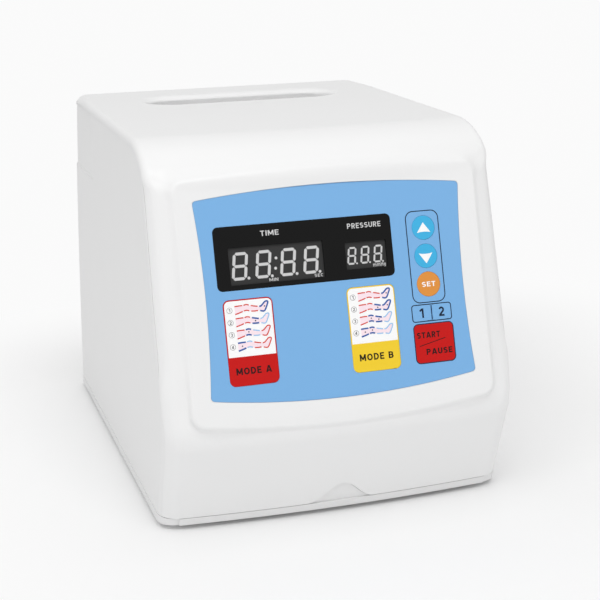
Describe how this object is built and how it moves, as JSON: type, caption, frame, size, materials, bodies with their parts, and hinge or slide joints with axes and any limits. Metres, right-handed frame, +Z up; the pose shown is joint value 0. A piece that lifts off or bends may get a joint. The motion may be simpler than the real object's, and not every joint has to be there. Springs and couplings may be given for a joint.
{
  "type": "compression therapy pump",
  "caption": "Table-top compression therapy pump: moulded casing with tilted membrane panel, two displays, mode keys, grip recess, rear hose ports and mains inlet.",
  "frame": {"origin": "centre of the bounding box at the level of the feet", "axes": "+X to the right seen from the front, +Y to the rear, +Z up; the control panel faces -Y"},
  "size_m": [0.1938, 0.2917, 0.202],
  "materials": {
    "white_abs": "glossy moulded ABS",
    "grey_abs": "fine matt texture",
    "overlay_blue": "printed film, semi-gloss",
    "black_gloss": "glossy",
    "black_matte": "matt",
    "module_grey": "matt",
    "segment_white": "translucent white epoxy",
    "key_cyan": "printed film",
    "key_orange": "printed film",
    "key_blue": "printed film",
    "key_red": "printed film",
    "key_yellow": "printed film",
    "board_green": "solder resist",
    "zinc": "zinc plated",
    "core_steel": "varnished laminations",
    "copper": "taped enamelled winding",
    "alu": "bare sheet",
    "rubber_black": "moulded",
    "rubber_grey": "moulded",
    "ivory_plastic": "moulded nylon",
    "acetal_orange": "moulded acetal",
    "silicone": "translucent tube",
    "ribbon_grey": "PVC",
    "lead_brown": "PVC",
    "brass_plate": "plated contacts",
    "fuse_glass": "clear tube with metal ends"
  },
  "bodies": {
    "casing": {"front_cover": "white_abs", "body_shell": "white_abs", "base_cover": "white_abs", "rear_panel": "grey_abs", "control_overlay": "overlay_blue", "display_window": "black_gloss", "display_board": "board_green", "time_display": "module_grey", "time_segments": "segment_white", "pressure_display": "module_grey", "pressure_segments": "segment_white", "key_switches": "black_matte", "display_board_screws": "zinc", "ribbon_cable": "ribbon_grey", "main_board": "board_green", "main_board_parts": "black_matte", "main_board_screws": "zinc", "pressure_sensor": "ivory_plastic", "transformer_core": "core_steel", "transformer_coil": "copper", "transformer_bracket": "zinc", "pump_chassis": "alu", "pump_cores": "core_steel", "pump_coils": "copper", "pump_diaphragms": "rubber_black", "front_pump_head": "ivory_plastic", "rear_pump_head": "ivory_plastic", "pump_mounts": "rubber_grey", "intake_filter": "grey_abs", "valve_motor": "zinc", "valve_base": "ivory_plastic", "valve_cap": "ivory_plastic", "supply_tubes": "silicone", "outlet_tubes": "silicone", "left_hose_port": "ivory_plastic", "right_hose_port": "ivory_plastic", "power_inlet": "black_matte", "inlet_pins": "brass_plate", "switch_frame": "black_matte", "mains_leads": "lead_brown", "front_left_foot": "rubber_grey", "front_right_foot": "rubber_grey", "rear_left_foot": "rubber_grey", "rear_right_foot": "rubber_grey", "casing_screws": "zinc", "rear_panel_screws": "zinc"},
    "up_key": {"up_key": "key_cyan"},
    "down_key": {"down_key": "key_cyan"},
    "setting_key": {"setting_key": "key_orange"},
    "one_sleeve_key": {"one_sleeve_key": "key_blue"},
    "two_sleeve_key": {"two_sleeve_key": "key_blue"},
    "start_pause_key": {"start_pause_key": "key_red"},
    "mode_a_key": {"mode_a_key": "key_red"},
    "mode_b_key": {"mode_b_key": "key_yellow"},
    "armature": {"pump_armature": "ivory_plastic"},
    "rotor": {"valve_rotor": "acetal_orange"},
    "drawer": {"fuse_drawer": "black_matte", "fuse": "fuse_glass"},
    "rocker": {"power_rocker": "black_gloss"}
  },
  "joints": [
    {"name": "up_press", "type": "slide", "parent": "casing", "child": "up_key", "axis": [0, 0.9625, -0.2714], "range_m": [0, 0.0004], "stiffness_N_per_m": 1000, "springref_m": -0.0005},
    {"name": "down_press", "type": "slide", "parent": "casing", "child": "down_key", "axis": [0, 0.9625, -0.2714], "range_m": [0, 0.0004], "stiffness_N_per_m": 1000, "springref_m": -0.0005},
    {"name": "setting_press", "type": "slide", "parent": "casing", "child": "setting_key", "axis": [0, 0.9625, -0.2714], "range_m": [0, 0.0004], "stiffness_N_per_m": 1000, "springref_m": -0.0005},
    {"name": "one_sleeve_press", "type": "slide", "parent": "casing", "child": "one_sleeve_key", "axis": [0, 0.9625, -0.2714], "range_m": [0, 0.0004], "stiffness_N_per_m": 1000, "springref_m": -0.0005},
    {"name": "two_sleeve_press", "type": "slide", "parent": "casing", "child": "two_sleeve_key", "axis": [0, 0.9625, -0.2714], "range_m": [0, 0.0004], "stiffness_N_per_m": 1000, "springref_m": -0.0005},
    {"name": "start_pause_press", "type": "slide", "parent": "casing", "child": "start_pause_key", "axis": [0, 0.9625, -0.2714], "range_m": [0, 0.0004], "stiffness_N_per_m": 1000, "springref_m": -0.0005},
    {"name": "mode_a_press", "type": "slide", "parent": "casing", "child": "mode_a_key", "axis": [0, 0.9625, -0.2714], "range_m": [0, 0.0004], "stiffness_N_per_m": 1000, "springref_m": -0.0005},
    {"name": "mode_b_press", "type": "slide", "parent": "casing", "child": "mode_b_key", "axis": [0, 0.9625, -0.2714], "range_m": [0, 0.0004], "stiffness_N_per_m": 1000, "springref_m": -0.0005},
    {"name": "armature_stroke", "type": "slide", "parent": "casing", "child": "armature", "axis": [0, 1, 0], "range_m": [-0.0015, 0.0015], "stiffness_N_per_m": 1500},
    {"name": "rotor_spin", "type": "hinge", "parent": "casing", "child": "rotor", "pos_m": [0.044, -0.008, 0.04], "axis": [0, 0, 1], "continuous": true},
    {"name": "drawer_pull", "type": "slide", "parent": "casing", "child": "drawer", "axis": [0, 0.994, 0.1097], "range_m": [0, 0.012]},
    {"name": "rocker_tilt", "type": "hinge", "parent": "casing", "child": "rocker", "pos_m": [0.046, 0.13247, 0.0456], "axis": [1, 0, 0], "range_deg": [0, 18]}
  ]
}
